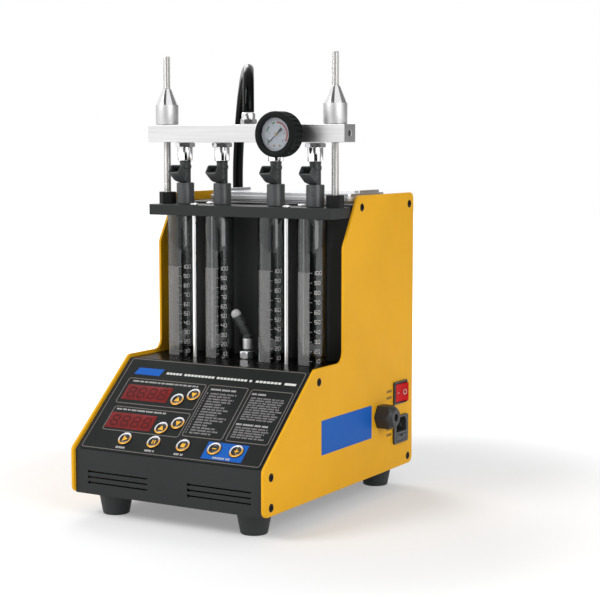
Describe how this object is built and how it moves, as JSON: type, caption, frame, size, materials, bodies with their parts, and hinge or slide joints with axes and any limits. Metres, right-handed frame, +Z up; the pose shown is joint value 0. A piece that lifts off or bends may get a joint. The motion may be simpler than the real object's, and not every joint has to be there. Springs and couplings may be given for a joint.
{
  "type": "fuel injector cleaner and tester",
  "caption": "Bench machine that tests and cleans fuel injectors, with a sloped console, glass tubes under a fuel rail with a gauge, and a covered ultrasonic bath.",
  "frame": {"origin": "middle of the outline, on the surface under the feet", "axes": "+Z up, front and control face towards -Y, mains inlet on the +X side"},
  "size_m": [0.2554, 0.3144, 0.47],
  "materials": {
    "yellow_paint": "satin powder coat",
    "black_paint": "satin powder coat",
    "overlay_film": "matte printed film",
    "dark_plastic": "matte",
    "button_plastic": "gloss with a metallic ring",
    "grey_plastic": "matte",
    "red_plastic": "gloss",
    "rubber": "matte",
    "chrome": "polished",
    "steel": "brushed",
    "aluminium": "satin",
    "glass": "clear",
    "board_green": "circuit board with red display windows"
  },
  "bodies": {
    "cabinet": {"side_panel_left": "yellow_paint", "side_panel_right": "yellow_paint", "front_shell": "black_paint", "rear_cover": "black_paint", "bath_tub": "steel", "foot_front_left": "rubber", "foot_front_right": "rubber", "foot_back_left": "rubber", "foot_back_right": "rubber", "control_overlay": "overlay_film", "control_board": "board_green", "tube_seat": "dark_plastic", "tube_1": "glass", "tube_2": "glass", "tube_3": "glass", "tube_4": "glass", "stay_rod_1": "chrome", "stay_rod_2": "chrome", "stay_rod_3": "chrome", "stay_rod_4": "chrome", "clamp_bar": "black_paint", "stud_left": "steel", "stud_right": "steel", "injector_1": "grey_plastic", "injector_2": "grey_plastic", "injector_3": "grey_plastic", "injector_4": "grey_plastic", "drain_valve": "chrome", "hose": "rubber", "rocker_frame": "dark_plastic", "mains_inlet": "dark_plastic", "signal_socket": "dark_plastic", "fluid_tank": "steel", "fuel_pump": "steel", "power_supply": "aluminium"},
    "rail": {"fuel_rail": "aluminium", "injector_cup_1": "chrome", "injector_cup_2": "chrome", "injector_cup_3": "chrome", "injector_cup_4": "chrome", "gauge_boot": "rubber", "gauge_case": "dark_plastic", "gauge_lens": "glass", "hose_fitting": "chrome"},
    "nut_left": {"clamp_nut_left": "chrome"},
    "nut_right": {"clamp_nut_right": "chrome"},
    "needle": {"gauge_needle": "dark_plastic"},
    "lever": {"drain_lever": "dark_plastic"},
    "lid": {"bath_lid": "steel"},
    "rocker": {"rocker_key": "red_plastic"},
    "drawer": {"fuse_drawer": "dark_plastic"},
    "pulse_up": {"button_pulse_up": "button_plastic"},
    "pulse_down": {"button_pulse_down": "button_plastic"},
    "time_up": {"button_time_up": "button_plastic"},
    "time_down": {"button_time_down": "button_plastic"},
    "start": {"button_start": "button_plastic"},
    "pause": {"button_pause": "button_plastic"},
    "stop": {"button_stop": "button_plastic"},
    "pressure_minus": {"button_pressure_minus": "button_plastic"},
    "pressure_plus": {"button_pressure_plus": "button_plastic"}
  },
  "joints": [
    {"name": "rail_lift", "type": "slide", "parent": "cabinet", "child": "rail", "axis": [0, 0, 1], "range_m": [0, 0.025], "deforming": ["hose"]},
    {"name": "nut_left_turn", "type": "hinge", "parent": "rail", "child": "nut_left", "pos_m": [-0.1109, 0.0007, 0.3973], "axis": [0, 0, 1], "continuous": true},
    {"name": "nut_right_turn", "type": "hinge", "parent": "rail", "child": "nut_right", "pos_m": [0.0963, 0.0007, 0.3973], "axis": [0, 0, 1], "continuous": true},
    {"name": "needle_sweep", "type": "hinge", "parent": "rail", "child": "needle", "pos_m": [0.0497, -0.0426, 0.3867], "axis": [0, 1, 0], "range_deg": [0, 270], "stiffness_Nm_per_rad": 0.0005, "springref_deg": -11.46},
    {"name": "drain_turn", "type": "hinge", "parent": "cabinet", "child": "lever", "pos_m": [-0.0063, -0.0036, 0.173], "axis": [0, 0, 1], "range_deg": [0, 90]},
    {"name": "lid_lift", "type": "slide", "parent": "cabinet", "child": "lid", "axis": [0, 0, 1], "range_m": [0, 0.03]},
    {"name": "rocker_tilt", "type": "hinge", "parent": "cabinet", "child": "rocker", "pos_m": [0.1041, 0.1257, 0.1066], "axis": [0, 0, 1], "range_deg": [0, 20]},
    {"name": "drawer_slide", "type": "slide", "parent": "cabinet", "child": "drawer", "axis": [1, 0, 0], "range_m": [0, 0.012]},
    {"name": "pulse_up_press", "type": "slide", "parent": "cabinet", "child": "pulse_up", "axis": [0, 0.6565, -0.7543], "range_m": [0, 0.001], "stiffness_N_per_m": 600, "springref_m": -0.001},
    {"name": "pulse_down_press", "type": "slide", "parent": "cabinet", "child": "pulse_down", "axis": [0, 0.6565, -0.7543], "range_m": [0, 0.001], "stiffness_N_per_m": 600, "springref_m": -0.001},
    {"name": "time_up_press", "type": "slide", "parent": "cabinet", "child": "time_up", "axis": [0, 0.6565, -0.7543], "range_m": [0, 0.001], "stiffness_N_per_m": 600, "springref_m": -0.001},
    {"name": "time_down_press", "type": "slide", "parent": "cabinet", "child": "time_down", "axis": [0, 0.6565, -0.7543], "range_m": [0, 0.001], "stiffness_N_per_m": 600, "springref_m": -0.001},
    {"name": "start_press", "type": "slide", "parent": "cabinet", "child": "start", "axis": [0, 0.6565, -0.7543], "range_m": [0, 0.001], "stiffness_N_per_m": 600, "springref_m": -0.001},
    {"name": "pause_press", "type": "slide", "parent": "cabinet", "child": "pause", "axis": [0, 0.6565, -0.7543], "range_m": [0, 0.001], "stiffness_N_per_m": 600, "springref_m": -0.001},
    {"name": "stop_press", "type": "slide", "parent": "cabinet", "child": "stop", "axis": [0, 0.6565, -0.7543], "range_m": [0, 0.001], "stiffness_N_per_m": 600, "springref_m": -0.001},
    {"name": "pressure_minus_press", "type": "slide", "parent": "cabinet", "child": "pressure_minus", "axis": [0, 0.6565, -0.7543], "range_m": [0, 0.001], "stiffness_N_per_m": 600, "springref_m": -0.001},
    {"name": "pressure_plus_press", "type": "slide", "parent": "cabinet", "child": "pressure_plus", "axis": [0, 0.6565, -0.7543], "range_m": [0, 0.001], "stiffness_N_per_m": 600, "springref_m": -0.001}
  ]
}
